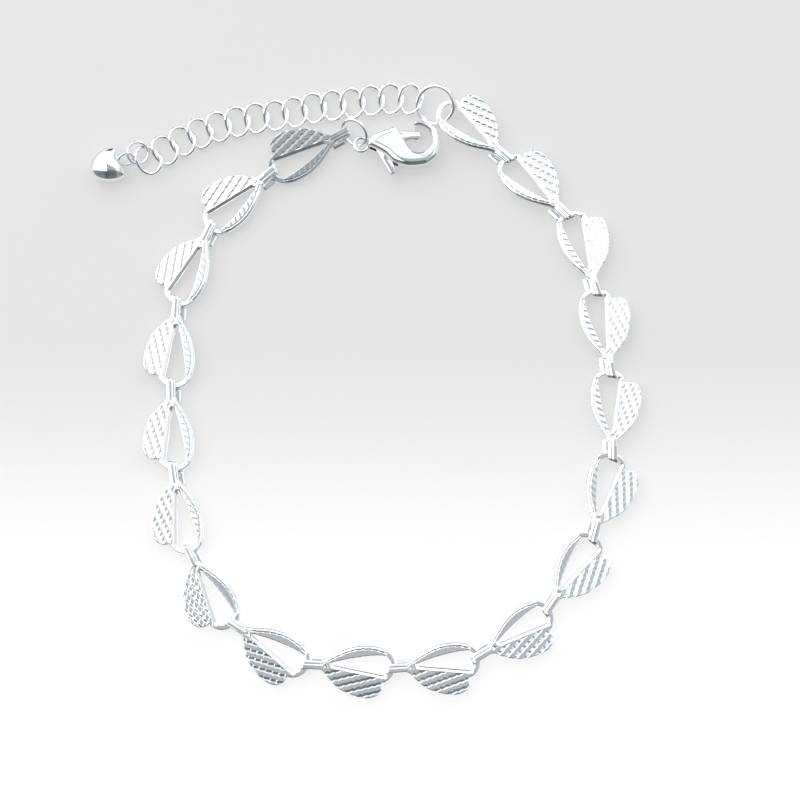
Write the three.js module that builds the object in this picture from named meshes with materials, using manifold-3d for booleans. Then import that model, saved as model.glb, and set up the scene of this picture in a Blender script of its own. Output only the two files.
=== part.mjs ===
// Silver-plated leaf-link bracelet, laid open on a table with its extender chain stretched out beside the clasp.
// Millimetres, +Z up. Each leaf link is a flat plate with an opening; its narrow neck is a strip that folds
// over the bow of the next link and returns underneath. Rings, clasp, extender links and a small heart follow.
import * as THREE from "three";
import { mergeVertices } from "three/addons/utils/BufferGeometryUtils.js";
import Module from "manifold-3d";

const wasm = await Module();
wasm.setup();

// ---- Driving dimensions (mm, degrees) ----
const PLATE = 0.6; // thickness of a leaf link
const STRIP = 0.32; // thickness of the folded neck strip
const STRIP_HALF = 0.55; // half its width
const STRIP_SHIFT = 0.08; // how far the neck lies to the leaf's side of the joint
const TAIL_SHIFT = 0.6; // how far the returning end lies to the other side of the neck
const PLAY = 0.12; // clearance between a folded strip and the bow that it holds
const BOW_FLOOR = STRIP + PLAY; // height of a bow's underside over the table
const STACK = 2 * STRIP + 2 * PLAY + PLATE; // height of a folded joint
const REACH = 10.05; // from a link's own origin to the joint at its neck
const PLATE_END = 8.7; // where the plate passes into the strip
const RISE = (STACK - BOW_FLOOR - PLATE) / (PLATE_END + 0.3); // slope of a plate from bow to neck
const BOW = { u: 1.5, v: -0.2, outer: 2.14, inner: 1.54, from: -115, to: -240 }; // round end of a link
const SEAT = 1.55; // distance of a joint from the centre of the bow that it holds
const LEAN = 14; // angle between an arriving neck and the bow's own normal

const CHAIN_START = { x: 5.63, y: 36.18, heading: -41 }; // first joint, inside the end ring
const LEAF_ROWS = [
  { no: 18, turn: 0, pitch: -2.5, roll: -3 },
  { no: 17, turn: 3, pitch: 0, roll: -2 },
  { no: 16, turn: 30, pitch: 0, roll: 1 },
  { no: 15, turn: 7, pitch: 0, roll: 2 },
  { no: 14, turn: 9, pitch: 0, roll: 0 },
  { no: 13, turn: 16, pitch: 0, roll: -2 },
  { no: 12, turn: 19, pitch: 0, roll: 1 },
  { no: 11, turn: 24, pitch: 0, roll: -1 },
  { no: 10, turn: 27, pitch: 0, roll: 1 },
  { no: 9, turn: 7, pitch: 0, roll: -1 },
  { no: 8, turn: 30, pitch: 0, roll: 2 },
  { no: 7, turn: 30, pitch: 0, roll: 0 },
  { no: 6, turn: 18, pitch: 0, roll: -1 },
  { no: 5, turn: 7, pitch: 0, roll: -1 },
  { no: 4, turn: 5, pitch: 0, roll: -1 },
  { no: 3, turn: 23, pitch: 0, roll: -1 },
  { no: 2, turn: 24, pitch: 0, roll: 1 },
  { no: 1, turn: 12, pitch: 0.4, roll: 4.2 },
];

const CURB = { along: 1.42, across: 1.82, wire: 0.42, twist: 0.34, pitch: 2.38 }; // one extender link
const EXTENDER_START = { x: 1.3, y: 37.3, heading: 176 };
const EXTENDER_ROWS = [
  { no: 1, turn: 0, lift: 0.05, pitch: -0.5, roll: 0.3 },
  { no: 2, turn: 6 },
  { no: 3, turn: 6 },
  { no: 4, turn: 1 },
  { no: 5, turn: -4 },
  { no: 6, turn: 5 },
  { no: 7, turn: 5 },
  { no: 8, turn: -8 },
  { no: 9, turn: 1 },
  { no: 10, turn: 6 },
  { no: 11, turn: 3 },
  { no: 12, turn: 5 },
  { no: 13, turn: 5 },
  { no: 14, turn: 4 },
  { no: 15, turn: 2, lift: 0.23, pitch: 11.2, roll: -0.5 }, // held up a little by the heart ring
];

// Plain rings: place of the centre, half sizes to the wire's middle, wire, and how the ring lies.
const RING_ROWS = [
  { name: "end_ring", x: 4.31, y: 36.41, z: 1.18, a: 2.28, b: 2.28, wire: 0.5, heading: -37.6, pitch: 0, tilt: 24.3 },
  { name: "clasp_ring", x: -5.54, y: 32.82, z: 1.5, a: 1.75, b: 1.45, wire: 0.4, heading: -46, pitch: -4, tilt: 39 },
  { name: "heart_ring", x: -31.95, y: 30.38, z: 1.03, a: 1.3, b: 1.3, wire: 0.34, heading: 63, pitch: 0.4, tilt: 25 },
];

const CLASP = { x: -1.1, y: 30.5, depth: 2.3, slot: 1.0, lever: 0.76 };
const EYE = { x: -3.6, y: 0.88, radius: 0.85, wire: 0.44 };
const OPENING = { x: 3.36, y: 1.42, radius: 1.68 };
const PIN = { radius: 0.3, play: 0.09 };

const HEART = { x: -35.68, y: 28.64, heading: 21, length: 4.15, width: 4.3, puff: 1.25 };
const BAIL = { reach: 2.52, radius: 0.88, wire: 0.34, tilt: 55 };

// ---- Small helpers ----
const rad = THREE.MathUtils.degToRad;
const silver = (color, roughness) => new THREE.MeshStandardMaterial({ color, roughness, metalness: 1 });
const BRIGHT = silver(0xe9ebee, 0.16);
const TEXTURED = silver(0xe2e5e9, 0.28);

function toSolid(geometry) {
  const bare = geometry.clone();
  for (const name of ["normal", "uv"]) bare.deleteAttribute(name);
  const merged = mergeVertices(bare, 1e-4);
  const vertProperties = new Float32Array(merged.attributes.position.array);
  const corners = merged.index.array;
  const faces = [];
  for (let i = 0; i < corners.length; i += 3) {
    const [a, b, c] = corners.subarray(i, i + 3);
    if (a !== b && b !== c && c !== a) faces.push(a, b, c);
  }
  return new wasm.Manifold(new wasm.Mesh({ numProp: 3, vertProperties, triVerts: new Uint32Array(faces) }));
}

function toGeometry(solid) {
  const mesh = solid.getMesh();
  const geometry = new THREE.BufferGeometry();
  geometry.setAttribute("position", new THREE.BufferAttribute(new Float32Array(mesh.vertProperties), 3));
  geometry.setIndex(new THREE.BufferAttribute(new Uint32Array(mesh.triVerts), 1));
  geometry.computeVertexNormals();
  return geometry;
}

// Moves every corner of a geometry by a function of its place.
function warp(geometry, move) {
  const position = geometry.attributes.position;
  const point = new THREE.Vector3();
  for (let i = 0; i < position.count; i += 1) {
    point.fromBufferAttribute(position, i);
    move(point);
    position.setXYZ(i, point.x, point.y, point.z);
  }
  return geometry;
}

const polygon = (points) => new THREE.Shape(points.map(([x, y]) => new THREE.Vector2(x, y)));
const knots = (points) => points.map(([x, y]) => new THREE.Vector2(x, y));

// An outline as plain points that run anticlockwise, without the repeats where two curves meet.
function outline(path, divisions) {
  const all = path.getPoints(divisions);
  const points = all.filter((point, i) => point.distanceTo(all.at(i - 1)) > 1e-3);
  return THREE.ShapeUtils.isClockWise(points) ? points.reverse() : points;
}

function slab(shape, bottom, top, divisions = 6) {
  const plain = new THREE.Shape(outline(shape, divisions));
  plain.holes = shape.holes.map((hole) => new THREE.Path(outline(hole, divisions)));
  const geometry = new THREE.ExtrudeGeometry(plain, { depth: top - bottom, bevelEnabled: false, curveSegments: 1 });
  return geometry.translate(0, 0, bottom);
}

function addPiece(group, name, geometry, material) {
  const mesh = new THREE.Mesh(geometry, material);
  mesh.name = name;
  group.add(mesh);
  return mesh;
}

// Lowers or raises a piece until it touches the table.
function setDown(mesh) {
  mesh.position.z -= new THREE.Box3().setFromObject(mesh, true).min.z;
}

// ---- Leaf link, in its own frame: u along the link, v towards the leaf, w up ----
function bowPoint(angle, radius) {
  return new THREE.Vector2(BOW.u + radius * Math.cos(rad(angle)), BOW.v + radius * Math.sin(rad(angle)));
}

function plateShape() {
  const shape = new THREE.Shape();
  const start = bowPoint(BOW.from, BOW.outer);
  shape.moveTo(PLATE_END, STRIP_SHIFT - STRIP_HALF);
  shape.splineThru([...knots([[7.7, -0.74], [6.5, -1.36], [5.2, -1.98], [3.6, -2.42], [1.9, -2.45]]), start]);
  shape.absarc(BOW.u, BOW.v, BOW.outer, rad(BOW.from), rad(BOW.to), true);
  shape.lineTo(0.97, 1.81);
  shape.lineTo(0.84, 2.05);
  shape.splineThru(knots([[0.93, 2.75], [1.4, 3.37], [2.35, 3.7], [3.6, 3.6], [5.0, 3.2], [6.2, 2.57], [7.55, 1.25]]));
  shape.lineTo(7.65, 0.8);
  shape.lineTo(PLATE_END, STRIP_SHIFT + STRIP_HALF);
  shape.holes.push(plateOpening());
  return shape;
}

function plateOpening() {
  const opening = new THREE.Path();
  const start = bowPoint(-128, BOW.inner);
  opening.moveTo(start.x, start.y);
  opening.absarc(BOW.u, BOW.v, BOW.inner, rad(-128), rad(-228), true);
  opening.lineTo(6.6, 0.05);
  opening.quadraticCurveTo(7.5, -0.1, 6.5, -0.34);
  opening.splineThru([...knots([[5.6, -0.62], [4.4, -0.92], [3.0, -1.2], [1.7, -1.38]]), start]);
  return opening;
}

// Side view of the strip from the neck over the next bow and back, u measured from the joint.
function foldProfile() {
  const tip = 0.62;
  const wall = tip - STRIP;
  const over = STACK - STRIP;
  const neck = PLATE_END - REACH;
  return polygon([
    [neck - 0.1, over - 0.02], [0.2, over], [wall, over - 0.1], [wall, STRIP + 0.1], [0.2, STRIP],
    [-0.8, STRIP], [-2.3, STRIP], [-2.3, 0], [-0.8, 0], [0.12, 0], [tip - 0.14, 0.16], [tip, 0.46],
    [tip, STACK - 0.46], [tip - 0.14, STACK - 0.16], [0.12, STACK], [neck, STACK], [neck - 0.1, STACK - 0.03],
  ]);
}

function foldedStrip() {
  const strip = slab(foldProfile(), -STRIP_HALF, STRIP_HALF);
  strip.rotateX(Math.PI / 2);
  const lean = Math.tan(rad(LEAN));
  return warp(strip, (p) => {
    const returning = p.z < STACK / 2 && p.x < -0.3;
    p.y += STRIP_SHIFT - (returning ? TAIL_SHIFT : 0);
    if (p.x > -0.3) p.x += lean * p.y;
    p.x += REACH;
  });
}

function leafLinkGeometry() {
  const plate = warp(slab(plateShape(), 0, PLATE, 3), (p) => {
    p.z += BOW_FLOOR + RISE * (p.x + 0.3);
  });
  return toGeometry(toSolid(plate).add(toSolid(foldedStrip())));
}

// Joint on a link's bow, for a neck that arrives with the given turn.
function seatOnBow(turn) {
  const angle = rad(turn - LEAN);
  return new THREE.Vector2(BOW.u - SEAT * Math.cos(angle), BOW.v - SEAT * Math.sin(angle));
}

function layLeafLinks(group) {
  const joint = new THREE.Vector2(CHAIN_START.x, CHAIN_START.y);
  let heading = CHAIN_START.heading;
  for (const row of LEAF_ROWS) {
    heading -= row.turn;
    const seat = seatOnBow(row.turn).rotateAround(new THREE.Vector2(), rad(heading));
    const origin = joint.clone().sub(seat);
    const link = addPiece(group, `leaf_link_${String(row.no).padStart(2, "0")}`, leafLinkGeometry(), TEXTURED);
    link.geometry.translate(0, 0, -BOW_FLOOR - PLATE / 2);
    link.position.set(origin.x, origin.y, 0);
    link.rotation.set(rad(row.roll), -rad(row.pitch), rad(heading), "ZYX");
    setDown(link);
    const reach = new THREE.Vector2(REACH, 0).rotateAround(new THREE.Vector2(), rad(heading));
    joint.copy(origin.add(reach));
  }
}

// ---- Rings and extender ----
// A closed wire whose middle line is an oval; twist lifts opposite quarters as in a curb chain.
function ovalWire({ a, b, wire, twist = 0, steps = 28, sides = 7 }) {
  const torus = new THREE.TorusGeometry(1, 0.25, sides, steps);
  return warp(torus, (p) => {
    const t = Math.atan2(p.y, p.x);
    const out = ((Math.hypot(p.x, p.y) - 1) / 0.25) * (wire / 2);
    const normal = new THREE.Vector2(b * Math.cos(t), a * Math.sin(t)).normalize();
    p.x = a * Math.cos(t) + normal.x * out;
    p.y = b * Math.sin(t) + normal.y * out;
    p.z = (p.z / 0.25) * (wire / 2) - twist * Math.sin(2 * t);
  });
}

function layRings(group) {
  for (const row of RING_ROWS) {
    const ring = addPiece(group, row.name, ovalWire(row), BRIGHT);
    ring.position.set(row.x, row.y, row.z);
    ring.rotation.set(rad(row.tilt), -rad(row.pitch), rad(row.heading), "ZYX");
  }
}

function layExtender(group) {
  const centre = new THREE.Vector2(EXTENDER_START.x, EXTENDER_START.y);
  const half = new THREE.Vector2();
  let heading = EXTENDER_START.heading;
  for (const row of EXTENDER_ROWS) {
    if (row.no > 1) centre.add(half);
    heading += row.turn;
    half.set(CURB.pitch / 2, 0).rotateAround(new THREE.Vector2(), rad(heading));
    if (row.no > 1) centre.add(half);
    const shape = { a: CURB.along, b: CURB.across, wire: CURB.wire, twist: CURB.twist, steps: 24, sides: 6 };
    const link = addPiece(group, `extender_ring_${String(row.no).padStart(2, "0")}`, ovalWire(shape), BRIGHT);
    link.position.set(centre.x, centre.y, CURB.twist + CURB.wire / 2 + (row.lift ?? 0));
    link.rotation.set(rad(row.roll ?? 0), -rad(row.pitch ?? 0), rad(heading), "ZYX");
  }
}

// ---- Lobster clasp, around its pivot ----
function claspShape() {
  const shape = new THREE.Shape();
  const { x, y, radius } = OPENING;
  shape.moveTo(-2.75, 1.35);
  shape.splineThru(knots([[-2.1, 1.95], [-1.29, 2.38], [-0.4, 2.72], [0.38, 3.02]]));
  shape.lineTo(0.75, 2.72);
  shape.lineTo(x + radius * Math.cos(rad(-127)), y + radius * Math.sin(rad(-127)));
  shape.absarc(x, y, radius, rad(-127), rad(104), false);
  shape.quadraticCurveTo(2.72, 3.2, 2.95, 3.62);
  shape.splineThru(knots([[3.9, 3.58], [4.95, 3.1], [5.75, 2.26], [6.02, 0.9], [5.5, -0.75], [4.4, -1.75]]));
  shape.splineThru(knots([[2.99, -1.97], [1.6, -1.9], [0.37, -1.45], [-0.75, -0.42], [-2.3, 0.42], [-2.9, 0.55]]));
  return shape;
}

function slotShape() {
  return polygon([
    [-3.0, -0.6], [-2.5, 0.75], [-1.7, 1.5], [0.0, 2.35], [0.9, 3.6], [3.4, 3.0],
    [2.9, -0.2], [2.0, -0.45], [0.85, -0.7], [0.85, -2.6], [-0.5, -2.6],
  ]);
}

function claspBodyGeometry() {
  const { depth, slot } = CLASP;
  const body = slab(claspShape(), 0, depth, 4);
  const gap = slab(slotShape(), (depth - slot) / 2, (depth + slot) / 2);
  const eye = ovalWire({ a: EYE.radius, b: EYE.radius, wire: EYE.wire, steps: 20, sides: 8 });
  eye.translate(EYE.x, EYE.y, depth / 2);
  const pin = new THREE.CylinderGeometry(PIN.radius, PIN.radius, depth - 0.4, 14);
  pin.rotateX(Math.PI / 2).translate(0, 0, depth / 2);
  return toGeometry(toSolid(body).subtract(toSolid(gap)).add(toSolid(eye)).add(toSolid(pin)));
}

function leverShape() {
  const shape = new THREE.Shape();
  shape.moveTo(-1.9, 0.42);
  shape.quadraticCurveTo(-1.15, -1.3, -0.02, -3.05);
  shape.lineTo(0.72, -2.72);
  shape.lineTo(0.42, -1.55);
  shape.quadraticCurveTo(0.4, -0.4, 1.0, 0.3);
  shape.lineTo(2.0, 1.52);
  shape.lineTo(3.2, 1.58);
  shape.absarc(3.2, 2.04, 0.46, rad(-90), rad(90), false);
  shape.lineTo(0.85, 2.5);
  shape.quadraticCurveTo(-0.9, 1.5, -1.9, 0.42);
  const bore = new THREE.Path();
  bore.absarc(0, 0, PIN.radius + PIN.play, 0, 2 * Math.PI, true);
  shape.holes.push(bore);
  return shape;
}

function layClasp(group) {
  const { x, y, depth, lever } = CLASP;
  const body = addPiece(group, "clasp_body", claspBodyGeometry(), BRIGHT);
  body.position.set(x, y, 0);
  const plate = slab(leverShape(), (depth - lever) / 2, (depth + lever) / 2, 7);
  const arm = addPiece(group, "clasp_lever", toGeometry(toSolid(plate)), BRIGHT);
  arm.position.set(x, y, 0);
}

// ---- Heart drop with its fixed bail ----
function heartGeometry() {
  const { length, width, puff } = HEART;
  const ball = warp(new THREE.SphereGeometry(1, 28, 14), (p) => {
    const t = Math.atan2(p.x, p.z);
    const spread = Math.hypot(p.x, p.z) ** 0.9;
    const along = 0.497 * Math.cos(t) - 0.115 * Math.cos(2 * t) - 0.03 * Math.cos(3 * t) + 0.085;
    const across = 0.5 * Math.sin(t);
    p.set(along * length * spread, across * width * spread, puff * p.y);
  });
  const bail = ovalWire({ a: BAIL.radius, b: BAIL.radius, wire: BAIL.wire, steps: 20, sides: 7 });
  bail.rotateX(rad(BAIL.tilt)).translate(BAIL.reach, 0, 0);
  return toGeometry(toSolid(ball).add(toSolid(bail)));
}

function layHeart(group) {
  const heart = addPiece(group, "heart_charm", heartGeometry(), BRIGHT);
  heart.position.set(HEART.x, HEART.y, HEART.puff);
  heart.rotation.z = rad(HEART.heading);
}

// ---- Whole bracelet, its origin under the middle of its bounding box ----
function buildBracelet() {
  const chain = new THREE.Group();
  layLeafLinks(chain);
  layRings(chain);
  layExtender(chain);
  layClasp(chain);
  layHeart(chain);
  const box = new THREE.Box3().setFromObject(chain, true);
  const middle = box.getCenter(new THREE.Vector3());
  chain.position.set(-middle.x, -middle.y, -box.min.z);
  const bracelet = new THREE.Group();
  bracelet.add(chain);
  return bracelet;
}

export default buildBracelet();
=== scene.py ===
"""Looks of a silver leaf-link bracelet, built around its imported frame.

Every piece is modelled in millimetres in the plane of its own sub-assembly and laid in place in metres.
"""

import logging
import math
from dataclasses import dataclass
from enum import Enum
from itertools import accumulate
from typing import Callable, Sequence

import bpy
from mathutils import Euler, Matrix, Vector, kdtree


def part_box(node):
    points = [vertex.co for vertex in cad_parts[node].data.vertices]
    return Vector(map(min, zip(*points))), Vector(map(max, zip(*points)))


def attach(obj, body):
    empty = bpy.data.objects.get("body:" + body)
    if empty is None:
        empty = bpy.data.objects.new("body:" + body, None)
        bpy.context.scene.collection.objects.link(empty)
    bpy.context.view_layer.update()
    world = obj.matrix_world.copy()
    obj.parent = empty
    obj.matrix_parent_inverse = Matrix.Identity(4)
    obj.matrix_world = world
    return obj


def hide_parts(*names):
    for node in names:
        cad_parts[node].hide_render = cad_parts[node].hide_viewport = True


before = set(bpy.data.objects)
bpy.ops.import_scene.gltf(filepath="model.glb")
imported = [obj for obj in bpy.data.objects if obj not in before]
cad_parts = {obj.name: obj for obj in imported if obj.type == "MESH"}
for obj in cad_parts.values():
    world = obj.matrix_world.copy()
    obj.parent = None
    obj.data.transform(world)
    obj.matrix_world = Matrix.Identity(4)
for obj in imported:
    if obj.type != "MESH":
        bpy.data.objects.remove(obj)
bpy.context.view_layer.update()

LOG = logging.getLogger("bracelet")
MM = 0.001
SHADE_MASK = "relief"
Point = tuple[float, float]


class Body(Enum):
    """The bodies that pieces ride on."""

    BRACELET = "bracelet"
    LEVER = "lever"


class Slot(Enum):
    """The record's material slots."""

    LEAVES = "textured_silver"
    CHAIN = "chain_silver"
    RINGS = "ring_silver"
    CLASP = "clasp_silver"
    HEART = "mirror_silver"


# ---- Curves in a plane ----
def catmull(points: Sequence[Point], steps: int = 12) -> list[Point]:
    """Draws a smooth curve through points.

    Args:
        points: The points that the curve passes through.
        steps: How many pieces each span is cut into.

    Returns:
        The curve as a line of points.
    """
    line: list[Point] = []
    padded = [points[0], *points, points[-1]]
    for span in zip(padded, padded[1:], padded[2:], padded[3:]):
        for step in range(steps):
            line.append(tuple(catmull_value(step / steps, *axis) for axis in zip(*span)))
    return [*line, points[-1]]


def catmull_value(t: float, a: float, b: float, c: float, d: float) -> float:
    """Gives one coordinate of a smooth curve between b and c.

    Args:
        t: How far along the span, from 0 to 1.
        a: The value before the span.
        b: The value at its start.
        c: The value at its end.
        d: The value after it.

    Returns:
        The coordinate at t.
    """
    rise, fall = (c - a) / 2, (d - b) / 2
    return (2 * b - 2 * c + rise + fall) * t**3 + (3 * c - 3 * b - 2 * rise - fall) * t**2 + rise * t + b


def arc(centre: Point, radius: float, start: float, end: float, steps: int = 24) -> list[Point]:
    """Draws part of a circle.

    Args:
        centre: The circle's centre.
        radius: Its radius.
        start: The first angle in degrees.
        end: The last angle in degrees.
        steps: How many pieces the arc is cut into.

    Returns:
        The arc as a line of points.
    """
    angles = [math.radians(start + (end - start) * step / steps) for step in range(steps + 1)]
    return [(centre[0] + radius * math.cos(a), centre[1] + radius * math.sin(a)) for a in angles]


def bend(start: Point, middle: Point, end: Point, steps: int = 8) -> list[Point]:
    """Draws a curve that is pulled from a straight line towards a middle point.

    Args:
        start: Where the curve starts.
        middle: The point that pulls it.
        end: Where it ends.
        steps: How many pieces it is cut into.

    Returns:
        The curve as a line of points.
    """
    line: list[Point] = []
    for step in range(steps + 1):
        t = step / steps
        weights = ((1 - t) ** 2, 2 * t * (1 - t), t * t)
        line.append(tuple(sum(w * p for w, p in zip(weights, axis)) for axis in zip(start, middle, end)))
    return line


def joined(*lines: Sequence[Point]) -> list[Point]:
    """Strings lines together and leaves out repeated points.

    Args:
        lines: The lines in order.

    Returns:
        One line of points.
    """
    whole: list[Point] = []
    for point in (p for line in lines for p in line):
        if not whole or math.dist(whole[-1], point) > 1e-4:
            whole.append(tuple(point))
    return whole


def spaced(line: Sequence[Point], count: int) -> list[Point]:
    """Sets points evenly along a line, the last of which is left out.

    Args:
        line: The line.
        count: How many points to set.

    Returns:
        The evenly set points.
    """
    lengths = [0.0, *accumulate(math.dist(a, b) for a, b in zip(line, line[1:]))]
    points: list[Point] = []
    index = 0
    for step in range(count):
        target = lengths[-1] * step / count
        while lengths[index + 1] < target:
            index += 1
        share = (target - lengths[index]) / (lengths[index + 1] - lengths[index])
        a, b = line[index], line[index + 1]
        points.append((a[0] + (b[0] - a[0]) * share, a[1] + (b[1] - a[1]) * share))
    return points


def edge_tree(rim: Sequence[Point]) -> kdtree.KDTree:
    """Builds a search tree of points set densely along a closed edge.

    Args:
        rim: The edge.

    Returns:
        The tree.
    """
    count = 1200
    tree = kdtree.KDTree(count)
    for index, (x, y) in enumerate(spaced([*rim, rim[0]], count)):
        tree.insert((x, y, 0.0), index)
    tree.balance()
    return tree


def smooth(value: float, low: float, high: float) -> float:
    """Rises smoothly from 0 at low to 1 at high.

    Args:
        value: The value to judge.
        low: Where the rise starts.
        high: Where it ends.

    Returns:
        A share from 0 to 1.
    """
    t = min(max((value - low) / (high - low), 0.0), 1.0)
    return t * t * (3 - 2 * t)


# ---- Handling of objects ----
def select_only(*pieces: bpy.types.Object) -> None:
    """Selects these pieces and nothing else, the first one active.

    Args:
        pieces: The pieces to select.
    """
    bpy.ops.object.select_all(action="DESELECT")
    for piece in pieces:
        piece.select_set(True)
    bpy.context.view_layer.objects.active = pieces[0]


def apply_modifier(piece: bpy.types.Object, kind: str, **settings: object) -> None:
    """Adds a modifier to a piece and applies it.

    Args:
        piece: The piece.
        kind: The modifier's type.
        settings: Its settings.
    """
    select_only(piece)
    modifier = piece.modifiers.new(kind.lower(), kind)
    for name, value in settings.items():
        setattr(modifier, name, value)
    bpy.ops.object.modifier_apply(modifier=modifier.name)


def combine(piece: bpy.types.Object, other: bpy.types.Object, operation: str) -> None:
    """Unites a piece with another or cuts the other out of it, and removes the other.

    Args:
        piece: The piece that stays.
        other: The piece that is used up.
        operation: UNION or DIFFERENCE.
    """
    apply_modifier(piece, "BOOLEAN", object=other, operation=operation, solver="EXACT")
    bpy.data.objects.remove(other)


def shape(piece: bpy.types.Object, move: Callable[[Vector], Vector]) -> None:
    """Moves every corner of a piece by a function of its place.

    Args:
        piece: The piece.
        move: Gives a corner's new place from its old one.
    """
    for vertex in piece.data.vertices:
        vertex.co = move(vertex.co.copy())
    piece.data.update()


def face_outwards(piece: bpy.types.Object) -> None:
    """Turns all faces of a closed piece outwards.

    Args:
        piece: The piece.
    """
    select_only(piece)
    bpy.ops.object.mode_set(mode="EDIT")
    bpy.ops.mesh.select_all(action="SELECT")
    bpy.ops.mesh.normals_make_consistent(inside=False)
    bpy.ops.object.mode_set(mode="OBJECT")


def soften(piece: bpy.types.Object, angle: float = 50.0) -> None:
    """Shades a piece smoothly, apart from edges sharper than an angle.

    Args:
        piece: The piece.
        angle: The sharpest smooth edge in degrees.
    """
    select_only(piece)
    bpy.ops.object.shade_smooth_by_angle(angle=math.radians(angle))


def note_painted_shade(piece: bpy.types.Object, openness: Sequence[float]) -> None:
    """Notes at each corner how open it lies, for the finish's painted shade.

    Args:
        piece: The piece.
        openness: A share for each corner, 0 for full painted shade, as deep in a hollow, and 1 for none.
    """
    relief = piece.data.attributes.new(SHADE_MASK, "FLOAT", "POINT")
    relief.data.foreach_set("value", openness)


def slab_of(line: Sequence[Point], low: float, high: float, steps: int = 1) -> bpy.types.Object:
    """Makes an upright slab from an outline.

    Args:
        line: The outline.
        low: The height of its underside.
        high: The height of its top.
        steps: How many storeys it is raised in.

    Returns:
        The slab.
    """
    bpy.ops.mesh.primitive_circle_add(vertices=len(line), radius=1.0, fill_type="NGON")
    piece = bpy.context.object
    for vertex, (x, y) in zip(piece.data.vertices, line):
        vertex.co = (x, y, low)
    bpy.ops.object.mode_set(mode="EDIT")
    bpy.ops.mesh.select_all(action="SELECT")
    for _ in range(steps):
        rise = (0.0, 0.0, (high - low) / steps)
        bpy.ops.mesh.extrude_region_move(TRANSFORM_OT_translate={"value": rise})
    bpy.ops.object.mode_set(mode="OBJECT")
    face_outwards(piece)
    return piece


def wire_loop(
    a: float, b: float, wire: float, twist: float = 0.0, *, steps: int, sides: int = 16
) -> bpy.types.Object:
    """Makes a closed loop of round wire.

    Args:
        a: Half the loop's length to the middle of the wire.
        b: Half its width.
        wire: The wire's diameter.
        twist: How far opposite quarters are lifted.
        steps: How many pieces the loop has along the wire.
        sides: How many sides the wire has.

    Returns:
        The loop, around the origin.
    """
    thin = 0.25
    bpy.ops.mesh.primitive_torus_add(
        major_segments=steps, minor_segments=sides, major_radius=1.0, minor_radius=thin
    )
    piece = bpy.context.object

    def lay(place: Vector) -> Vector:
        """Gives a corner's place on the oval."""
        t = math.atan2(place.y, place.x)
        out = (math.hypot(place.x, place.y) - 1.0) / thin * wire / 2
        normal = Vector((b * math.cos(t), a * math.sin(t))).normalized()
        x, y = a * math.cos(t) + normal.x * out, b * math.sin(t) + normal.y * out
        return Vector((x, y, place.z / thin * wire / 2 - twist * math.sin(2 * t)))

    shape(piece, lay)
    return piece


def lay_in_place(piece: bpy.types.Object, centre: Vector, turn: tuple[float, float, float]) -> None:
    """Turns a piece, moves it to its place, and makes it metres, all in its mesh.

    Args:
        piece: The piece in millimetres around its own origin.
        centre: Where its origin goes, in millimetres.
        turn: Roll, pitch and heading in degrees.
    """
    roll, pitch, heading = (math.radians(angle) for angle in turn)
    tilt = Matrix.Rotation(-pitch, 4, "Y") @ Matrix.Rotation(roll, 4, "X")
    rotation = Matrix.Rotation(heading, 4, "Z") @ tilt
    piece.data.transform(Matrix.Scale(MM, 4) @ Matrix.Translation(centre) @ rotation)
    piece.data.update()


def hand_over(piece: bpy.types.Object, name: str, body: Body, node: str) -> None:
    """Names a finished piece and ties it to the frame.

    Args:
        piece: The piece.
        name: Its name.
        body: The body that it rides on.
        node: The CAD node that it stands for.
    """
    piece.name = name
    piece.data.name = name
    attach(piece, body.value)
    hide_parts(node)
    LOG.info("%s: %d faces on body %s", name, len(piece.data.polygons), body.value)


# ---- Finishes ----
def add_node(tree: bpy.types.NodeTree, kind: str, **values: object) -> bpy.types.Node:
    """Adds a node and sets some of its sockets.

    Args:
        tree: The node tree.
        kind: Its type, without the common prefix.
        values: The sockets' values, by name, with underscores for spaces.

    Returns:
        The node.
    """
    node = tree.nodes.new(f"ShaderNode{kind}")
    for name, value in values.items():
        node.inputs[name.replace("_", " ")].default_value = value
    return node


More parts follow.
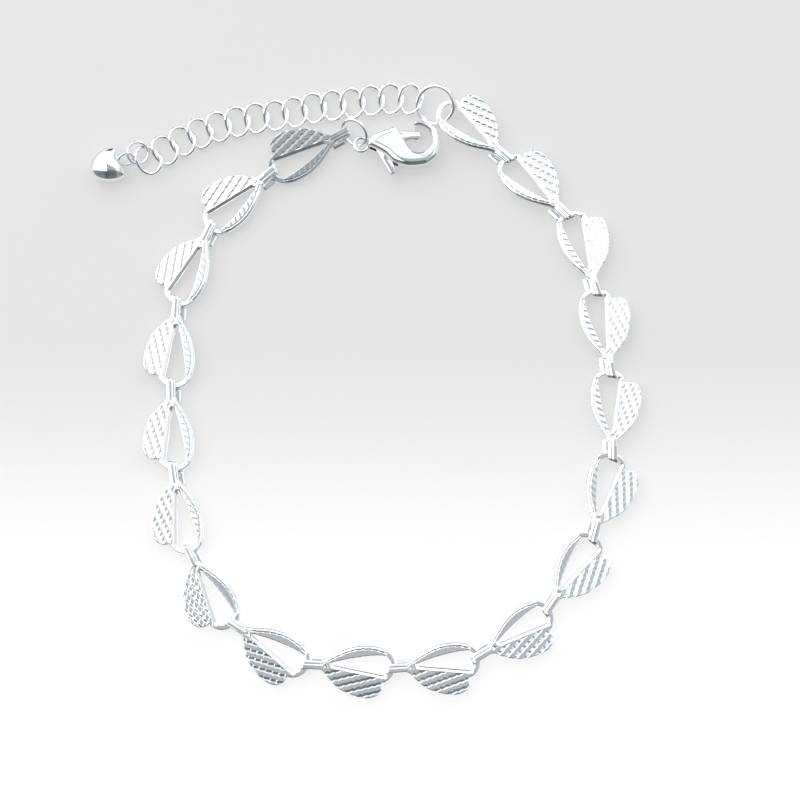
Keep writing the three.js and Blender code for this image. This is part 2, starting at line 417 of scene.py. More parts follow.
@dataclass(frozen=True)
class SilverFinish:
    """Silver plate with faint clouding, fine polishing marks and, where asked, painted shade in hollows, on
    steep rib sides and along seams.
    """

    name: str
    colour: tuple[float, float, float] = (0.92, 0.945, 0.95)
    shade_and_cloud_tone: tuple[float, float, float] = (0.58, 0.61, 0.64)
    roughness: float = 0.08
    clouding: float = 0.03
    cloud_scale: float = 420.0
    mark_scale: float = 9000.0
    mark_depth: float = 0.05
    mark_height: float = 0.02
    painted_shade: bool = False
    shade_mask_range: Point = (0.05, 0.55)
    least_clean: float = 0.86

    def material(self) -> bpy.types.Material:
        """Builds the material.

        Returns:
            The material.
        """
        material = bpy.data.materials.new(self.name)
        material.use_nodes = True
        tree = material.node_tree
        links = tree.links
        shader = tree.nodes["Principled BSDF"]
        shader.inputs["Metallic"].default_value = 1.0
        place = add_node(tree, "TexCoord").outputs["Object"]
        clouds = add_node(tree, "TexNoise", Scale=self.cloud_scale, Detail=3.0)
        links.new(place, clouds.inputs["Vector"])
        low, high = self.roughness - self.clouding, self.roughness + self.clouding
        gloss = add_node(tree, "MapRange", To_Min=low, To_Max=high)
        links.new(clouds.outputs["Fac"], gloss.inputs["Value"])
        links.new(gloss.outputs["Result"], shader.inputs["Roughness"])
        # Painted shade: the base colour mixes towards the darker tone by the shade mask, or by random
        # clouding where there is no mask.
        tint = add_node(tree, "Mix")
        tint.data_type = "RGBA"
        tint.inputs["A"].default_value = (*self.shade_and_cloud_tone, 1.0)
        tint.inputs["B"].default_value = (*self.colour, 1.0)
        links.new(self.plain_colour_share(tree, clouds.outputs["Fac"]), tint.inputs["Factor"])
        links.new(tint.outputs["Result"], shader.inputs["Base Color"])
        marks = add_node(tree, "TexNoise", Scale=self.mark_scale, Detail=2.0)
        links.new(place, marks.inputs["Vector"])
        bump = add_node(tree, "Bump", Strength=self.mark_depth, Distance=self.mark_height * MM)
        links.new(marks.outputs["Fac"], bump.inputs["Height"])
        links.new(bump.outputs["Normal"], shader.inputs["Normal"])
        return material

    def plain_colour_share(self, tree: bpy.types.NodeTree, clouds: bpy.types.NodeSocket) -> bpy.types.NodeSocket:
        """Works out the share of the plain silver colour: from the painted-shade mask on hollows, steep rib
        sides and seams, or from the clouding alone, a random tone.

        Args:
            tree: The node tree that is being built.
            clouds: The clouding's value.

        Returns:
            The share's socket.
        """
        if self.painted_shade:
            low, high = self.shade_mask_range
            share = add_node(tree, "MapRange", From_Min=low, From_Max=high)
            relief = add_node(tree, "Attribute")
            relief.attribute_name = SHADE_MASK
            source = relief.outputs["Fac"]
        else:
            share = add_node(tree, "MapRange", To_Min=self.least_clean)
            source = clouds
        tree.links.new(source, share.inputs["Value"])
        return share.outputs["Result"]


# ---- Leaf links ----
@dataclass(frozen=True)
class LinkRow:
    """One leaf link: its number, how far it turns from the link before, and how it lies."""

    number: int
    turn: float
    roll: float = 0.0
    pitch: float = 0.0


LEAF_ROWS = (
    LinkRow(18, 0, -3, -2.5), LinkRow(17, 3, -2), LinkRow(16, 30, 1),
    LinkRow(15, 7, 2), LinkRow(14, 9), LinkRow(13, 16, -2),
    LinkRow(12, 19, 1), LinkRow(11, 24, -1), LinkRow(10, 27, 1),
    LinkRow(9, 7, -1), LinkRow(8, 30, 2), LinkRow(7, 30),
    LinkRow(6, 18, -1), LinkRow(5, 7, -1), LinkRow(4, 5, -1),
    LinkRow(3, 23, -1), LinkRow(2, 24, 1), LinkRow(1, 12, 4.2, 0.4),
)


@dataclass
class LeafLinks:
    """The eighteen leaf links, each a pierced leaf whose neck folds over the bow of the next."""

    offset: Vector
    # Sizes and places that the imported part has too
    plate: float = 0.6
    strip: float = 0.32
    strip_half: float = 0.55
    play: float = 0.12
    reach: float = 10.05
    plate_ends: Point = (-0.3, 8.7)
    bow: Point = (1.5, -0.2)
    bow_outer: float = 2.14
    bow_inner: float = 1.54
    seat: float = 1.55
    lean: float = 14.0
    start: Point = (5.63, 36.18)
    heading: float = -41.0
    tail_shift: float = 0.6
    cad_shift: float = 0.08
    # The neck and its fold
    strip_shift: float = 0.12
    neck_end: float = 8.9
    neck_inset: float = 0.03
    neck_drop: float = 0.06
    neck_drop_span: Point = (8.0, 8.4)
    neck_span: Point = (7.4, 8.0)
    strip_start: float = -2.15
    strip_length: float = 6.7
    strip_steps: int = 96
    fold_tip: float = 0.62
    fold_radius: float = 0.46
    fold_level: float = 1.4
    fold_lift: float = 0.012
    tail_taper: float = 0.12
    # The plate's mesh: columns along bow, leaf, neck and side wire, and rows round the section
    columns: tuple[int, int, int, int] = (44, 104, 10, 70)
    top_rows: int = 60
    wall_levels: tuple[float, ...] = (0.72, 0.45, 0.18)
    floor_shares: tuple[float, ...] = (0.92, 0.5, 0.08)
    top_inset: float = 0.025
    # The ribs on the leaf, with the shares of a rib where its steep side, its painted shade and its crest
    # end
    rib_pitch: float = 0.87
    rib_angle: float = 16.3
    rib_depth: float = 0.08
    rib_rope: float = 0.012
    rib_start: float = 0.1
    rib_steep: float = 0.1
    rib_shade: Point = (0.08, 0.18)
    rib_crest: float = 0.62
    scallop: float = 0.035
    # The facet beside the opening
    facet_width: float = 0.4
    facet_depth: float = 0.2
    facet_end: Point = (6.5, 7.2)
    # The rope pattern and the rim of the side wire
    rope_pitch: float = 0.8
    rope_depth: float = 0.021
    rope_sway: float = 0.05
    rim: float = 0.42
    rim_drop: float = 0.16
    rim_sway: float = 0.03
    seam_depth: float = 0.07
    edge: float = 0.13

    @property
    def bow_floor(self) -> float:
        """Gives the height of a bow's underside over the table."""
        return self.strip + self.play

    @property
    def stack(self) -> float:
        """Gives the height of a folded joint."""
        return 2 * self.strip + 2 * self.play + self.plate

    @property
    def rise(self) -> float:
        """Gives the slope of a plate from its bow to its neck."""
        return (self.stack - self.bow_floor - self.plate) / (self.plate_ends[1] - self.plate_ends[0])

    def edges(self) -> tuple[list[Point], list[Point]]:
        """Draws the outer edge and the edge of the opening, point for point.

        Returns:
            The outer points and the opening's points.
        """
        leaf = catmull([
            (0.84, 2.05), (0.93, 2.75), (1.4, 3.37), (2.35, 3.7), (3.6, 3.6), (5.0, 3.2), (6.2, 2.57),
            (7.5, 1.3),
        ])
        outer_bow = arc(self.bow, self.bow_outer, -115, -240)
        inner_bow = arc(self.bow, self.bow_inner, -128, -228)
        half = self.strip_half - self.neck_inset
        high, low = self.strip_shift + half, self.strip_shift - half
        neck_up, neck_down = (self.neck_end, high), (self.neck_end, low)
        shoulder = bend((7.6, 1.1), (7.75, 0.8), (8.35, high))
        side = catmull(
            [(8.35, low), (7.6, -0.72), (6.5, -1.36), (5.2, -1.98), (3.6, -2.42), (1.9, -2.45), outer_bow[0]]
        )
        outer = [
            outer_bow,
            joined(outer_bow[-1:], [(0.97, 1.81)], leaf, shoulder, [neck_up]),
            [neck_up, neck_down],
            joined([neck_down], side),
        ]
        tip = bend((6.6, 0.05), (7.5, -0.1), (6.5, -0.34))
        inner = [
            inner_bow,
            [inner_bow[-1], tip[0]],
            tip,
            catmull([tip[-1], (5.6, -0.62), (4.4, -0.92), (3.0, -1.2), (1.7, -1.38), inner_bow[0]]),
        ]
        rim, hole = (
            [point for line, count in zip(lines, self.columns) for point in spaced(line, count)]
            for lines in (outer, inner)
        )
        return self.scalloped(rim), hole

    def rib_wave(self, u: float, v: float) -> tuple[float, float, float]:
        """Gives the place on the ribs.

        Args:
            u: The place along the link.
            v: The place across it.

        Returns:
            The height across a rib, 0 in a groove and 1 on a crest, how much the place is on a rib's
            steep side, where the painted shade goes, and the distance along the rib.
        """
        angle = math.radians(self.rib_angle)
        across = v * math.cos(angle) - u * math.sin(angle)
        along = u * math.cos(angle) + v * math.sin(angle)
        across += self.rope_sway * self.saw(along / self.rope_pitch)
        phase = (across / self.rib_pitch + self.rib_start) % 1.0
        slope = max(0.0, phase - self.rib_crest) / (1 - self.rib_crest)
        height = smooth(phase, 0.0, self.rib_steep) * (1 - slope)
        return height, 1 - smooth(phase, *self.rib_shade), along

    @staticmethod
    def saw(turns: float) -> float:
        """Gives a rounded saw wave, from -1 to 1.

        Args:
            turns: How many waves have passed.

        Returns:
            The wave's height.
        """
        phase = 2 * math.pi * turns
        return 0.75 * math.sin(phase) + 0.3 * math.sin(2 * phase)

    def scalloped(self, rim: list[Point]) -> list[Point]:
        """Draws the leaf's edge in a little where a groove runs out.

        Args:
            rim: The plain outer edge.

        Returns:
            The scalloped edge.
        """
        centre, along, across = (3.4, 0.9), (3.8, 4.8), (1.2, 1.6)
        drawn: list[Point] = []
        for u, v in rim:
            share = smooth(u, *along) * smooth(v, *across)
            pull = self.scallop * share * (1 - self.rib_wave(u, v)[0]) ** 1.5
            drawn.append((u + (centre[0] - u) * pull, v + (centre[1] - v) * pull))
        return drawn

    def relief(
        self, u: float, v: float, from_rim: float, from_hole: float, parts: Sequence[float]
    ) -> tuple[float, float]:
        """Gives the height of the struck face below the plate's flat top.

        Args:
            u: The place along the link.
            v: The place across it.
            from_rim: The distance to the outer edge.
            from_hole: The distance to the opening.
            parts: The shares of bow, leaf, neck and side wire at this place.

        Returns:
            The height, which is 0 or less, and how free of painted shade the place is, from 0 to 1.
        """
        neck = smooth(u, *self.neck_span)
        bow, leaf, side = (share * (1 - neck) for share in (parts[0], parts[1] + parts[2], parts[3]))
        rib, steep, along = self.rib_wave(u, v)
        ribbed = smooth(from_hole, self.facet_width + 0.02, self.facet_width + 0.14)
        ribbed *= smooth(from_rim, 0.0, 0.06)
        rope = 0.5 + 0.5 * self.saw((along + 0.9 * v) / self.rope_pitch)
        struck = -self.facet_depth * max(0.0, 1 - from_hole / self.facet_width)
        struck *= 1 - smooth(u, *self.facet_end)
        struck -= ribbed * (self.rib_depth * (1 - rib) + self.rib_rope * rope * rib)
        sway = from_rim + self.rim_sway * self.saw(along / self.rope_pitch)
        seam = 1 - smooth(abs(sway - self.rim), 0.02, 0.12)
        facet = self.rim_drop * max(0.0, 1 - from_rim / (self.rim - 0.07))
        inner = smooth(from_rim, self.rim + 0.02, self.rim + 0.1)
        cord = 0.5 + 0.5 * self.saw((along + 0.8 * from_hole) / self.rope_pitch)
        wire = -self.seam_depth * seam - facet - inner * self.rope_depth * (0.4 + 0.7 * cord)
        lower = 1 - smooth(v, self.strip_shift, self.strip_shift + 0.1)
        height = leaf * struck + side * wire - neck * lower * (facet + 0.05 * seam)
        near = min(from_rim, from_hole)
        radius = self.edge
        if near < radius:
            height -= radius - math.sqrt(max(radius**2 - (radius - near) ** 2, 0.0))
        # Painted shade: darker on steep rib sides in the ribbed field, along the side wire's seam and on the
        # neck's lower seam.
        unshaded = bow + leaf * (1 - ribbed * steep) + side * (1 - seam) + neck * (1 - 0.6 * seam * lower)
        return height, min(max(unshaded, 0.0), 1.0)

    def parts_at(self, column: int) -> list[float]:
        """Gives how much a column belongs to the bow, leaf, neck and side wire.

        Args:
            column: The column's number along the edges.

        Returns:
            Four shares that sum to 1.
        """
        starts = [0, *accumulate(self.columns)]
        blend = 7.0
        shares = []
        for first, last in zip(starts, starts[1:]):
            middle, half = (first + last) / 2, (last - first) / 2
            gap = abs((column - middle + starts[-1] / 2) % starts[-1] - starts[-1] / 2)
            shares.append(1 - smooth(gap, half - blend / 2, half + blend / 2))
        return [share / sum(shares) for share in shares]

    def struck_plate(self) -> bpy.types.Object:
        """Makes the pierced leaf with its struck face.

        Returns:
            The plate, flat on its own floor.
        """
        outer, hole = self.edges()
        rows = self.top_rows + len(self.lower_section)
        bpy.ops.mesh.primitive_torus_add(major_segments=len(outer), minor_segments=rows)
        piece = bpy.context.object
        trees = [edge_tree(rim) for rim in (outer, hole)]
        opening: list[float] = []
        for index, vertex in enumerate(piece.data.vertices):
            column, row = divmod(index, rows)
            a, b = Vector(hole[column]), Vector(outer[column])
            share, level = self.section(row)
            if level is None:
                width = (b - a).length
                inset = min(self.top_inset, width / 4)
                spot = a + (b - a) * ((inset + (width - 2 * inset) * share) / width)
                gaps = [tree.find((spot.x, spot.y, 0.0))[2] for tree in trees]
                drop, shown = self.relief(spot.x, spot.y, gaps[0], gaps[1], self.parts_at(column))
                height = self.plate + drop - self.neck_drop * smooth(spot.x, *self.neck_drop_span)
            else:
                spot = a.lerp(b, share)
                height, shown = self.plate * level, 1.0
            vertex.co = (spot.x, spot.y, height)
            opening.append(shown)
        note_painted_shade(piece, opening)
        return piece

    @property
    def lower_section(self) -> list[Point]:
        """Gives the corners on the outer wall, the underside and the opening's wall.

        Returns:
            Each corner's share of the way from opening to outer edge, and its level.
        """
        outside = [(1.0, level) for level in self.wall_levels]
        under = [(share, 0.0) for share in self.floor_shares]
        return [*outside, *under, *((0.0, level) for level in reversed(self.wall_levels))]

    def section(self, row: int) -> tuple[float, float | None]:
        """Gives a corner's place in the plate's cross-section.

        Args:
            row: The corner's number round the section.

        Returns:
            Its share of the way from opening to outer edge, and its level as a share of the thickness, or
            None on top.
        """
        if row < self.top_rows:
            t = row / (self.top_rows - 1)
            return 0.5 * t + 0.25 * (1 - math.cos(math.pi * t)), None
        return self.lower_section[row - self.top_rows]

    def strip_section(self) -> list[Point]:
        """Draws the strip's cross-section: across the strip, and how deep below its outer side.

        Returns:
            The section.
        """
        half, round_edge, chamfer = self.strip_half, 0.12, 0.05
        rim_end = self.rim - half
        facet = [
            (v, 0.01 + self.rim_drop * (1 - (v + half) / self.rim)) for v in (rim_end - 0.04, chamfer - half)
        ]
        under = self.strip - chamfer
        return joined(
            arc((half - round_edge, round_edge), round_edge, 0, -90, 5),
            [(0.2, 0.0), (rim_end + 0.09, 0.0), (rim_end + 0.03, 0.03), (rim_end, 0.05)],
            facet,
            [(-half, 0.19), (-half, under)],
            [(chamfer - half, self.strip), (half - chamfer, self.strip), (half, under)],
        )

    def fold_path(self, length: float) -> tuple[Vector, Vector]:
        """Follows the outer side of the fold, seen from the side with the joint at 0.

        Args:
            length: The distance along it.

        Returns:
            The place and the way out of the strip there.
        """
        tip, radius = self.fold_tip, self.fold_radius
        quarter, wall = radius * math.pi / 2, self.stack - 2 * radius
        ahead = length - (tip - radius - self.strip_start)
        if ahead < 0:
            height = self.stack + self.rise * min(0.0, ahead + self.fold_level) + self.fold_lift
            return Vector((tip - radius + ahead, height)), Vector((0.0, 1.0))
        if ahead < quarter:
            way = Vector((math.sin(ahead / radius), math.cos(ahead / radius)))
            return Vector((tip - radius, self.stack - radius)) + radius * way, way
        if ahead < quarter + wall:
            return Vector((tip, self.stack - radius - (ahead - quarter))), Vector((1.0, 0.0))
        ahead -= quarter + wall
        if ahead < quarter:
            way = Vector((math.cos(ahead / radius), -math.sin(ahead / radius)))
            return Vector((tip - radius, radius)) + radius * way, way
        return Vector((tip - radius - (ahead - quarter), 0.0)), Vector((0.0, -1.0))

    def folded_strip(self) -> bpy.types.Object:
        """Makes the neck strip that folds over the next bow and returns below it.

        Returns:
            The strip, placed on the plate's own frame.
        """
        piece = slab_of(self.strip_section(), 0.0, self.strip_length, self.strip_steps)
        seam = self.rim - self.strip_half
        # Painted shade along the strip's seam.
        unshaded = [0.4 + 0.6 * smooth(abs(vertex.co.x - seam), 0.0, 0.1) for vertex in piece.data.vertices]
        slant = math.tan(math.radians(self.lean))

        def lay(place: Vector) -> Vector:
            """Lays the straight strip along the fold and leans its tip."""
            spot, way = self.fold_path(place.z)
            x, z = spot - way * place.y
            taper = self.tail_taper * smooth(place.z, self.strip_length - 0.15, self.strip_length)
            v = place.x * (1 - taper) + self.strip_shift
            if z < self.stack / 2:
                v -= self.tail_shift * smooth(-x, 0.0, 0.8)
            return Vector((x + slant * v * smooth(x, -0.4, -0.1) + self.reach, v, z))

        shape(piece, lay)
        face_outwards(piece)
        note_painted_shade(piece, unshaded)
        return piece

    def pattern_link(self) -> bpy.types.Object:
        """Makes the one link that all others copy.

        Returns:
            The link in its own frame.
        """
        plate = self.struck_plate()
        low_end = self.plate_ends[0]
        shape(plate, lambda p: p + Vector((0.0, 0.0, self.bow_floor + self.rise * (p.x - low_end))))
        face_outwards(plate)
        strip = self.folded_strip()
        select_only(plate, strip)
        bpy.ops.object.join()
        soften(plate, 55)
        return plate

    def seat_on_bow(self, turn: float) -> Vector:
        """Gives the joint on a link's bow for a neck that arrives with a turn.

        Args:
            turn: The turn in degrees.

        Returns:
            The joint in the link's own plane.
        """
        angle = math.radians(turn - self.lean)
        return Vector(self.bow) - self.seat * Vector((math.cos(angle), math.sin(angle)))

    def corners(self) -> list[Vector]:
        """Gives the strip's lowest corners, on which a link stands.

        Returns:
            The corners in the link's own frame.
        """
        spots = []
        for x, shift in ((-2.3, self.tail_shift), (-0.8, self.tail_shift), (0.12, 0.0)):
            for half in (-self.strip_half, self.strip_half):
                v = half + self.cad_shift - shift
                slant = math.tan(math.radians(self.lean)) * v if x > -0.3 else 0.0
                spots.append(Vector((x + slant + self.reach, v, 0.0)))
        return spots

    def build(self, finish: SilverFinish) -> None:
        """Copies the pattern link along the chain.

        Args:
            finish: The links' finish.
        """
        pattern = self.pattern_link()
        pattern.data.materials.append(finish.material())
        joint, heading = Vector(self.start), self.heading
        centre_height = self.bow_floor + self.plate / 2
        for row in LEAF_ROWS:
            heading -= row.turn
            turn = Matrix.Rotation(math.radians(heading), 2)
            origin = joint - turn @ self.seat_on_bow(row.turn)
            angles = (math.radians(row.roll), math.radians(-row.pitch), math.radians(heading))
            tilt = Euler(angles, "XYZ").to_matrix()
            lowered = [(tilt @ (corner - Vector((0, 0, centre_height)))).z for corner in self.corners()]
            link = bpy.data.objects.new("link", pattern.data.copy())
            bpy.context.collection.objects.link(link)
            link.data.transform(Matrix.Translation((0.0, 0.0, -centre_height)))
            centre = Vector((origin.x, origin.y, -min(lowered))) + self.offset
            lay_in_place(link, centre, (row.roll, row.pitch, heading))
            number = f"{row.number:02d}"
            node = f"leaf_link_{number}"
            hand_over(link, f"leaf_{number}_silver", Body.BRACELET, node)
            joint = origin + turn @ Vector((self.reach, 0.0))
        bpy.data.objects.remove(pattern)


# ---- Rings and extender ----
@dataclass(frozen=True)
class RingRow:
    """One plain ring: its place, half sizes, wire and how it lies."""

    node: str
    centre: tuple[float, float, float]
    half: Point
    wire: float
    heading: float
    pitch: float
    tilt: float


RING_ROWS = (
    RingRow("end_ring", (4.31, 36.41, 1.18), (2.28, 2.28), 0.5, -37.6, 0, 24.3),
    RingRow("clasp_ring", (-5.54, 32.82, 1.5), (1.75, 1.45), 0.4, -46, -4, 39),
    RingRow("heart_ring", (-31.95, 30.38, 1.03), (1.3, 1.3), 0.34, 63, 0.4, 25),
)


@dataclass
class Rings:
    """The end ring, the clasp ring and the heart ring."""

    offset: Vector
    fullness: float = 1.08

    def build(self, finish: SilverFinish) -> None:
        """Bends the rings and lays them in place.

        Args:
            finish: The rings' finish.
        """
        material = finish.material()
        for row in RING_ROWS:
            ring = wire_loop(*row.half, row.wire * self.fullness, steps=96, sides=20)
            ring.data.materials.append(material)
            soften(ring)
            lay_in_place(ring, Vector(row.centre) + self.offset, (row.tilt, row.pitch, row.heading))
            hand_over(ring, f"{row.node}_wire", Body.BRACELET, row.node)


@dataclass
class Extender:
    """The fifteen twisted oval links of the extender chain."""

    offset: Vector
    along: float = 1.42
    across: float = 1.82
    wire: float = 0.48
    twist: float = 0.34
    pitch: float = 2.38
    start: Point = (1.3, 37.3)
    heading: float = 176.0
    turns: tuple[float, ...] = (0, 6, 6, 1, -4, 5, 5, -8, 1, 6, 3, 5, 5, 4, 2)
    tilted: tuple[tuple[int, float, float, float], ...] = ((1, 0.05, 0.3, -0.5), (15, 0.23, -0.5, 11.2))

    def build(self, finish: SilverFinish) -> None:
        """Bends one link, copies it and lays the copies along the chain.

        Args:
            finish: The links' finish.
        """
        pattern = wire_loop(self.along, self.across, self.wire, self.twist, steps=72)
        pattern.data.materials.append(finish.material())
        soften(pattern)
        centre, heading, half = Vector(self.start), self.heading, Vector((0.0, 0.0))
        for number, turn in enumerate(self.turns, start=1):
            centre = centre + half
            heading += turn
            half = Matrix.Rotation(math.radians(heading), 2) @ Vector((self.pitch / 2, 0.0))
            if number > 1:
                centre = centre + half
            link = bpy.data.objects.new("link", pattern.data.copy())
            bpy.context.collection.objects.link(link)
            lift, roll, pitch = next((row[1:] for row in self.tilted if row[0] == number), (0.0, 0.0, 0.0))
            spot = Vector((centre.x, centre.y, self.twist + self.wire / 2 + lift)) + self.offset
            lay_in_place(link, spot, (roll, pitch, heading))
            node = f"extender_ring_{number:02d}"
            hand_over(link, f"extender_{number:02d}_wire", Body.BRACELET, node)
        bpy.data.objects.remove(pattern)


# ---- Clasp ----
@dataclass
class Clasp:
    """The lobster clasp: rounded hook body with eye and pin, and the lever that turns on the pin."""

    offset: Vector
    place: Point = (-1.1, 30.5)
    depth: float = 2.3
    slot: float = 1.0
    lever: float = 0.76
    opening: Point = (3.36, 1.42)
    opening_radius: float = 1.68
    eye: Point = (-3.6, 0.88)
    eye_radius: float = 0.85
    eye_wire: float = 0.44
    pin_radius: float = 0.3
    pin_play: float = 0.09
    pin_inset: float = 0.2
    grain: float = 0.07
    body_round: float = 0.8
    rim_share: float = 0.62
    lever_round: float = 0.24

    def body_outline(self) -> list[Point]:
        """Draws the body from above.

        Returns:
            The outline.
        """
        back = catmull([(-2.75, 1.35), (-2.1, 1.95), (-1.29, 2.38), (-0.4, 2.72), (0.38, 3.02)], 5)
        mouth = arc(self.opening, self.opening_radius, -127, 104, 40)
        tip = bend(mouth[-1], (2.5, 3.2), (2.9, 3.74), 6)
        hook = catmull(
            [tip[-1], (3.9, 3.68), (4.98, 3.16), (5.75, 2.26), (6.02, 0.9), (5.5, -0.75), (4.4, -1.75)], 7
        )
        belly = catmull([
            hook[-1], (2.99, -1.97), (1.6, -1.9), (0.37, -1.45), (-0.75, -0.42), (-2.3, 0.42), (-2.9, 0.55),
        ], 7)
        return joined(back, [(0.75, 2.72)], mouth, tip, hook, belly)

    def slot_outline(self) -> list[Point]:
        """Draws the slot that the lever moves in.

        Returns:
            The outline.
        """
        return [
            (-3.0, -0.6), (-2.5, 0.75), (-1.7, 1.5), (0.0, 2.35), (0.9, 3.6), (3.4, 3.0),
            (2.9, -0.2), (2.0, -0.45), (0.85, -0.7), (0.85, -2.6), (-0.5, -2.6),
        ]

    def lever_outline(self) -> list[Point]:
        """Draws the lever from above.

        Returns:
            The outline.
        """
        return joined(
            bend((-1.9, 0.42), (-1.15, -1.3), (-0.02, -3.05)),
            [(0.72, -2.72), (0.42, -1.55)],
            bend((0.42, -1.55), (0.4, -0.4), (1.0, 0.3)),
            [(2.0, 1.38)],
            arc((3.15, 1.99), 0.6, -90, 90, 12),
            bend((0.85, 2.6), (-0.9, 1.5), (-1.9, 0.42))[:-1],
        )

    def body(self) -> bpy.types.Object:
        """Makes the rounded body with its slot, eye and pin.

        Returns:
            The body around its pivot.
        """
        line = self.body_outline()
        half = self.depth / 2
        piece = slab_of(line, 0.0, self.depth)
        apply_modifier(piece, "REMESH", mode="VOXEL", voxel_size=self.grain)
        edge = edge_tree(line)

        def swell(place: Vector) -> Vector:
            """Rounds the body down towards its outline."""
            depth = min(edge.find((place.x, place.y, 0.0))[2] / self.body_round, 1.0)
            share = self.rim_share + (1 - self.rim_share) * math.sqrt(1 - (1 - depth) ** 2)
            return Vector((place.x, place.y, half + (place.z - half) * share))

        shape(piece, swell)
        apply_modifier(piece, "SMOOTH", factor=0.6, iterations=3)
        gap = slab_of(self.slot_outline(), half - self.slot / 2, half + self.slot / 2)
        combine(piece, gap, "DIFFERENCE")
        eye = wire_loop(self.eye_radius, self.eye_radius, self.eye_wire, steps=48)
        eye.data.transform(Matrix.Translation((*self.eye, half)))
        combine(piece, eye, "UNION")
        combine(piece, self.rod(self.pin_radius, self.pin_inset, self.depth - self.pin_inset), "UNION")
        return piece

    @staticmethod
    def rod(radius: float, low: float, high: float) -> bpy.types.Object:
        """Makes an upright rod on the pivot.

        Args:
            radius: The rod's radius.
            low: The height of its lower end.
            high: The height of its upper end.

        Returns:
            The rod.
        """
        return slab_of(arc((0.0, 0.0), radius, 0, 352.5, 47), low, high)

    def arm(self) -> bpy.types.Object:
        """Makes the lever with its bore.

        Returns:
            The lever around its pivot.
        """
        low, high = (self.depth - self.lever) / 2, (self.depth + self.lever) / 2
        piece = slab_of(self.lever_outline(), low, high)
        sharp = math.radians(60)
        apply_modifier(
            piece, "BEVEL", width=self.lever_round, segments=5, limit_method="ANGLE", angle_limit=sharp
        )
        combine(piece, self.rod(self.pin_radius + self.pin_play, low - 0.5, high + 0.5), "DIFFERENCE")
        return piece

    def build(self, finish: SilverFinish) -> None:
        """Makes the clasp and lays it in place.

        Args:
            finish: The clasp's finish.
        """
        material = finish.material()
        centre = Vector((*self.place, 0.0)) + self.offset
        parts = (
            (self.body(), "clasp_body_silver", Body.BRACELET, "clasp_body"),
            (self.arm(), "clasp_lever_silver", Body.LEVER, "clasp_lever"),
        )
        for piece, name, body, node in parts:
            piece.data.materials.clear()
            piece.data.materials.append(material)
            soften(piece, 40)
            lay_in_place(piece, centre, (0.0, 0.0, 0.0))
            hand_over(piece, name, body, node)


# ---- Heart drop ----
@dataclass
class HeartDrop:
    """The small puffed heart with its wire bail."""

    offset: Vector
    place: Point = (-35.68, 28.64)
    heading: float = 21.0
    length: float = 4.15
    width: float = 4.3
    puff: float = 1.25
    fullness: float = 0.9
    cleft: tuple[float, ...] = (0.085, 0.497, -0.115, -0.03)
    bail_reach: float = 2.52
    bail_radius: float = 0.88
    bail_wire: float = 0.34
    bail_tilt: float = 55.0

    def puffed(self, place: Vector) -> Vector:
        """Gives a corner's place on the heart.

        Args:
            place: The corner's place on a ball.

        Returns:
            Its place on the heart.
        """
        t = math.atan2(place.y, place.x)
        spread = math.hypot(place.x, place.y) ** self.fullness
        along = sum(share * math.cos(turns * t) for turns, share in enumerate(self.cleft))
        across = 0.5 * math.sin(t)
        return Vector((along * self.length * spread, across * self.width * spread, self.puff * place.z))

    def build(self, finish: SilverFinish) -> None:
        """Makes the heart and lays it in place.

        Args:
            finish: The heart's finish.
        """
        bpy.ops.mesh.primitive_uv_sphere_add(segments=96, ring_count=48, radius=1.0)
        heart = bpy.context.object
        shape(heart, self.puffed)
        bail = wire_loop(self.bail_radius, self.bail_radius, self.bail_wire, steps=56)
        tilt = Matrix.Rotation(math.radians(self.bail_tilt), 4, "X")
        bail.data.transform(Matrix.Translation((self.bail_reach, 0.0, 0.0)) @ tilt)
        face_outwards(heart)
        combine(heart, bail, "UNION")
        heart.data.materials.clear()
        heart.data.materials.append(finish.material())
        soften(heart, 40)
        lay_in_place(heart, Vector((*self.place, self.puff)) + self.offset, (0.0, 0.0, self.heading))
        hand_over(heart, "heart_drop_silver", Body.BRACELET, "heart_charm")


# ---- Studio ----
@dataclass(frozen=True)
class SoftBox:
    """A soft box that faces straight down: its middle, its two sides and its face's brightness."""

    name: str
    place: tuple[float, float, float]
    size: Point
    radiance: float


WEST_BOX = SoftBox("west_box", (-1.82, 1.05, 1.2), (3.37, 2.9), 1.12)
NORTH_BOX = SoftBox("north_box", (0.24, 0.71, 1.2), (0.62, 0.78), 0.6)


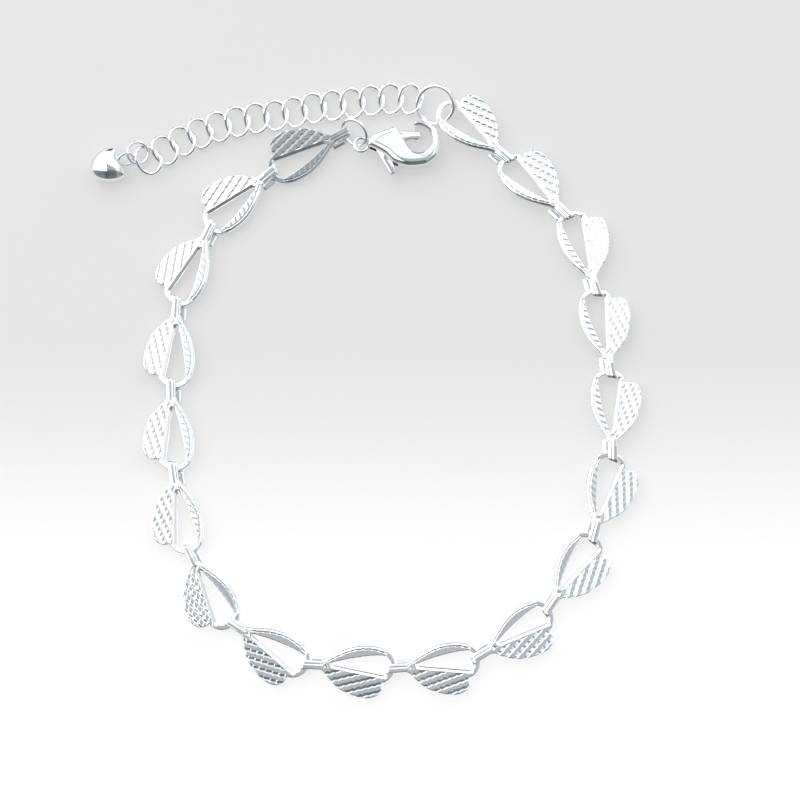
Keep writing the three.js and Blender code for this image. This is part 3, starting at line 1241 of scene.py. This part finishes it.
@dataclass
class Studio:
    """Pale floor, soft boxes, surroundings and camera, in metres."""

    centre: Vector
    floor_size: float = 6.0
    floor_colour: tuple[float, float, float] = (0.374, 0.366, 0.357)
    floor_glow: Point = (0.70, 0.45)
    glow_colour: tuple[float, float, float] = (1.0, 0.99, 0.98)
    glow_band: Point = (-0.026, 0.008)
    elevation: float = 80.0
    distance: float = 0.318
    lens: float = 119.0
    cast: tuple[float, float, float] = (0.965, 0.985, 1.01)
    east_stops: tuple[Point, ...] = (
        (0.0, 1.0), (0.2, 0.75), (0.36, 0.75), (0.42, 0.38), (0.465, 0.36), (0.485, 0.5), (0.61, 0.54),
        (0.66, 0.6), (0.7, 1.1), (0.84, 1.1), (0.88, 0.65), (1.0, 1.0),
    )
    north_stops: tuple[Point, ...] = (
        (0.0, 0.4), (0.22, 0.28), (0.38, 0.4), (0.44, 1.0), (0.7, 1.0), (0.84, 1.2),
        (0.875, 2.8), (0.94, 2.8), (0.97, 0.3), (1.0, 0.2),
    )

    def floor(self) -> None:
        """Lays the floor, glowing with painted light that is stronger on the near side, so that it is a
        little greyer towards the far side.
        """
        bpy.ops.mesh.primitive_plane_add(size=self.floor_size, location=(0.0, 0.0, 0.0))
        plane = bpy.context.object
        plane.name = "floor"
        material = bpy.data.materials.new("pale_floor")
        material.use_nodes = True
        tree = material.node_tree
        shader = tree.nodes["Principled BSDF"]
        shader.inputs["Roughness"].default_value = 0.9
        shader.inputs["Specular IOR Level"].default_value = 0.0
        shader.inputs["Base Color"].default_value = (*self.floor_colour, 1.0)
        shader.inputs["Emission Color"].default_value = (*self.glow_colour, 1.0)
        split = add_node(tree, "SeparateXYZ")
        tree.links.new(add_node(tree, "TexCoord").outputs["Object"], split.inputs["Vector"])
        # Painted light: the floor's emission fades from the near side to the far side.
        near, far = (self.centre.y + edge for edge in self.glow_band)
        strong, weak = self.floor_glow
        ramp = add_node(tree, "MapRange", From_Min=near, From_Max=far, To_Min=strong, To_Max=weak)
        ramp.interpolation_type = "SMOOTHSTEP"
        tree.links.new(split.outputs["Y"], ramp.inputs["Value"])
        tree.links.new(ramp.outputs["Result"], shader.inputs["Emission Strength"])
        plane.data.materials.append(material)

    def hang(self, box: SoftBox) -> None:
        """Hangs a soft box over the bracelet.

        Args:
            box: The soft box.
        """
        bpy.ops.object.light_add(type="AREA", location=self.centre + Vector(box.place))
        lamp = bpy.context.object
        lamp.name = box.name
        lamp.data.shape = "RECTANGLE"
        lamp.data.size, lamp.data.size_y = box.size
        lamp.data.energy = box.radiance * math.pi * box.size[0] * box.size[1]

    def surroundings(self) -> None:
        """Sets the room's brightness from side to side."""
        world = bpy.data.worlds.new("studio")
        bpy.context.scene.world = world
        world.use_nodes = True
        tree = world.node_tree
        split = add_node(tree, "SeparateXYZ")
        tree.links.new(add_node(tree, "TexCoord").outputs["Generated"], split.inputs["Vector"])
        blend = add_node(tree, "Mix")
        blend.data_type = "RGBA"
        blend.blend_type = "MULTIPLY"
        blend.inputs["Factor"].default_value = 1.0
        for axis, side, stops in (("X", "A", self.east_stops), ("Y", "B", self.north_stops)):
            ramp = add_node(tree, "ValToRGB")
            self.set_ramp(ramp, stops)
            shift = add_node(tree, "MapRange", From_Min=-1.0)
            tree.links.new(split.outputs[axis], shift.inputs["Value"])
            tree.links.new(shift.outputs["Result"], ramp.inputs["Fac"])
            tree.links.new(ramp.outputs["Color"], blend.inputs[side])
        tree.links.new(blend.outputs["Result"], tree.nodes["Background"].inputs["Color"])

    def set_ramp(self, node: bpy.types.Node, stops: Sequence[Point]) -> None:
        """Sets a ramp's stops to greys with a cool cast.

        Args:
            node: The ramp.
            stops: Each stop's place and brightness.
        """
        ramp = node.color_ramp
        while len(ramp.elements) < len(stops):
            ramp.elements.new(0.5)
        for element, (place, level) in zip(ramp.elements, stops):
            element.position = place
            element.color = (*(level * share for share in self.cast), 1.0)

    def camera(self) -> None:
        """Sets up the camera over the near side."""
        lift = math.radians(self.elevation)
        spot = self.centre + self.distance * Vector((0.0, -math.cos(lift), math.sin(lift)))
        bpy.ops.object.camera_add(location=spot, rotation=(math.pi / 2 - lift, 0.0, 0.0))
        camera = bpy.context.object
        camera.data.lens = self.lens
        camera.data.clip_start = 0.01
        bpy.context.scene.camera = camera

    @staticmethod
    def keep_off(piece: bpy.types.Object, *boxes: SoftBox) -> None:
        """Keeps soft boxes off a piece that faces a darker part of the room.

        Args:
            piece: The piece.
            boxes: The soft boxes.
        """
        for box in boxes:
            select_only(bpy.data.objects[box.name], piece)
            bpy.ops.object.light_linking_receivers_link(link_state="EXCLUDE")

    def build(self) -> None:
        """Sets up the whole studio."""
        self.camera()
        self.floor()
        self.surroundings()
        for box in (WEST_BOX, NORTH_BOX):
            self.hang(box)
        bpy.context.scene.view_settings.view_transform = "Standard"


def chain_offset() -> Vector:
    """Finds where the chain's own origin lies in the frame, in millimetres.

    Returns:
        The offset.
    """
    low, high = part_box("end_ring")
    middle = (low + high) / 2 / MM
    ring = RING_ROWS[0].centre
    return Vector((middle.x - ring[0], middle.y - ring[1], 0.0))


def main() -> None:
    """Builds the studio and every piece of the bracelet."""
    logging.basicConfig(level=logging.INFO, format="%(name)s %(message)s")
    offset = chain_offset()
    studio = Studio(Vector((offset.x * MM, offset.y * MM, 0.0)))
    studio.build()
    # The leaves carry painted shade from their per-corner mask.
    LeafLinks(offset).build(SilverFinish("struck_silver", painted_shade=True, mark_depth=0.1))
    studio.keep_off(bpy.data.objects["leaf_01_silver"], WEST_BOX, NORTH_BOX)
    Rings(offset).build(SilverFinish("ring_wire_silver"))
    Extender(offset).build(SilverFinish("chain_wire_silver"))
    Clasp(offset).build(SilverFinish("clasp_silver_polish", roughness=0.06))
    HeartDrop(offset).build(SilverFinish("heart_mirror_silver", roughness=0.05, clouding=0.02))


if __name__ == "__main__":
    main()
